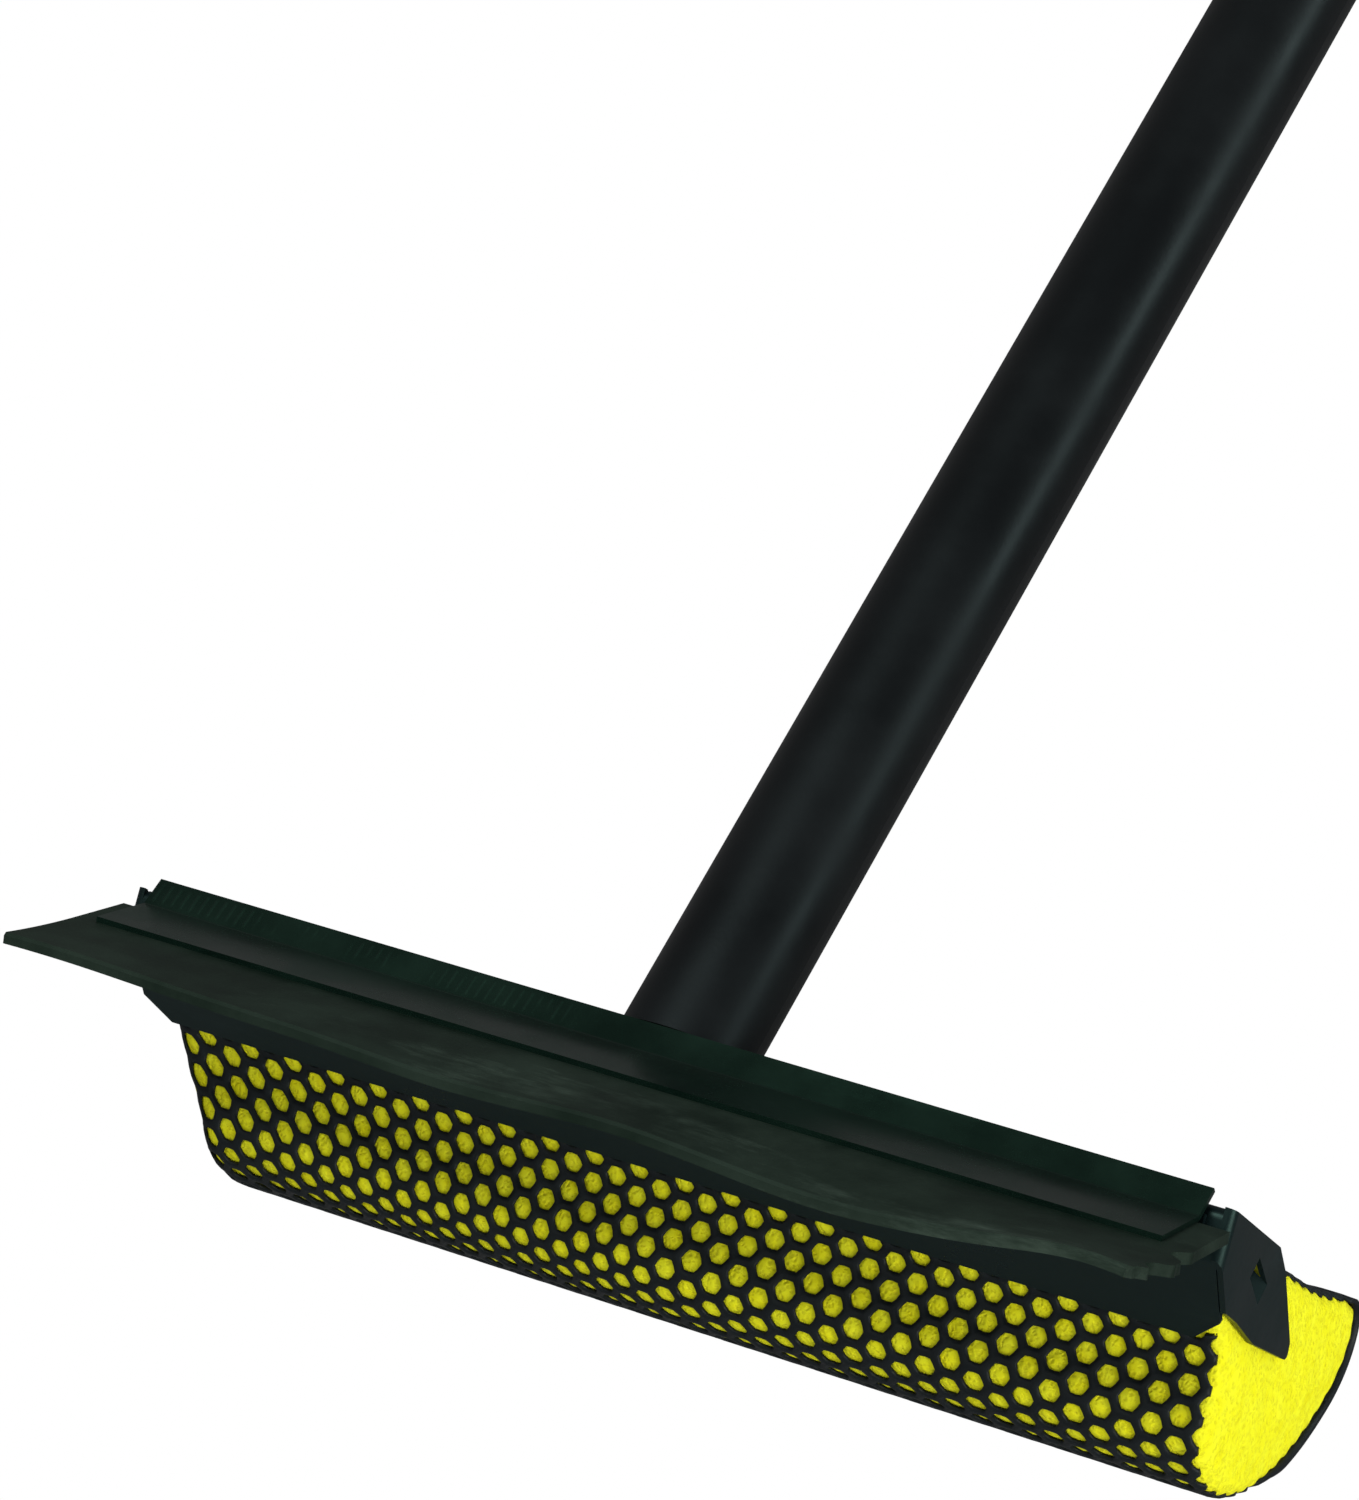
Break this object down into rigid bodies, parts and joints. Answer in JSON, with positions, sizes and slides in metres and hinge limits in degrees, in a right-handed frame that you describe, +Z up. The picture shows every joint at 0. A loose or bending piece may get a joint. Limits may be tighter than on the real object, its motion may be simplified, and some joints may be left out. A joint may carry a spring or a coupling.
{
  "type": "wash squeegee",
  "caption": "Hand squeegee: folded sheet head with a rubber wiping blade along its front, a net-covered washing sponge behind, and a straight tubular handle with a hanging hole.",
  "frame": {"origin": "centre of the hanging hole in the end cap's tab, on the handle's axis", "axes": "+Z up the handle from the head to the hanging hole, +X along the head, +Y towards the sponge, along the hanging hole; the blade is on the -Y side"},
  "size_m": [0.212, 0.1089, 0.5391],
  "materials": {
    "black_sheet": "gloss",
    "blade": "matte",
    "foam": "matte",
    "net": "satin",
    "handle_black": "satin",
    "socket_black": "satin",
    "rivet_steel": "satin"
  },
  "bodies": {
    "root": {"clamp_strip": "black_sheet", "jaw_strip": "black_sheet", "blade_rubber": "blade", "channel": "black_sheet", "sponge": "foam", "sponge_net": "net", "handle_socket": "socket_black", "socket_rivets": "rivet_steel", "handle_tube": "handle_black", "handle_screw": "rivet_steel", "end_cap": "socket_black"}
  },
  "joints": []
}
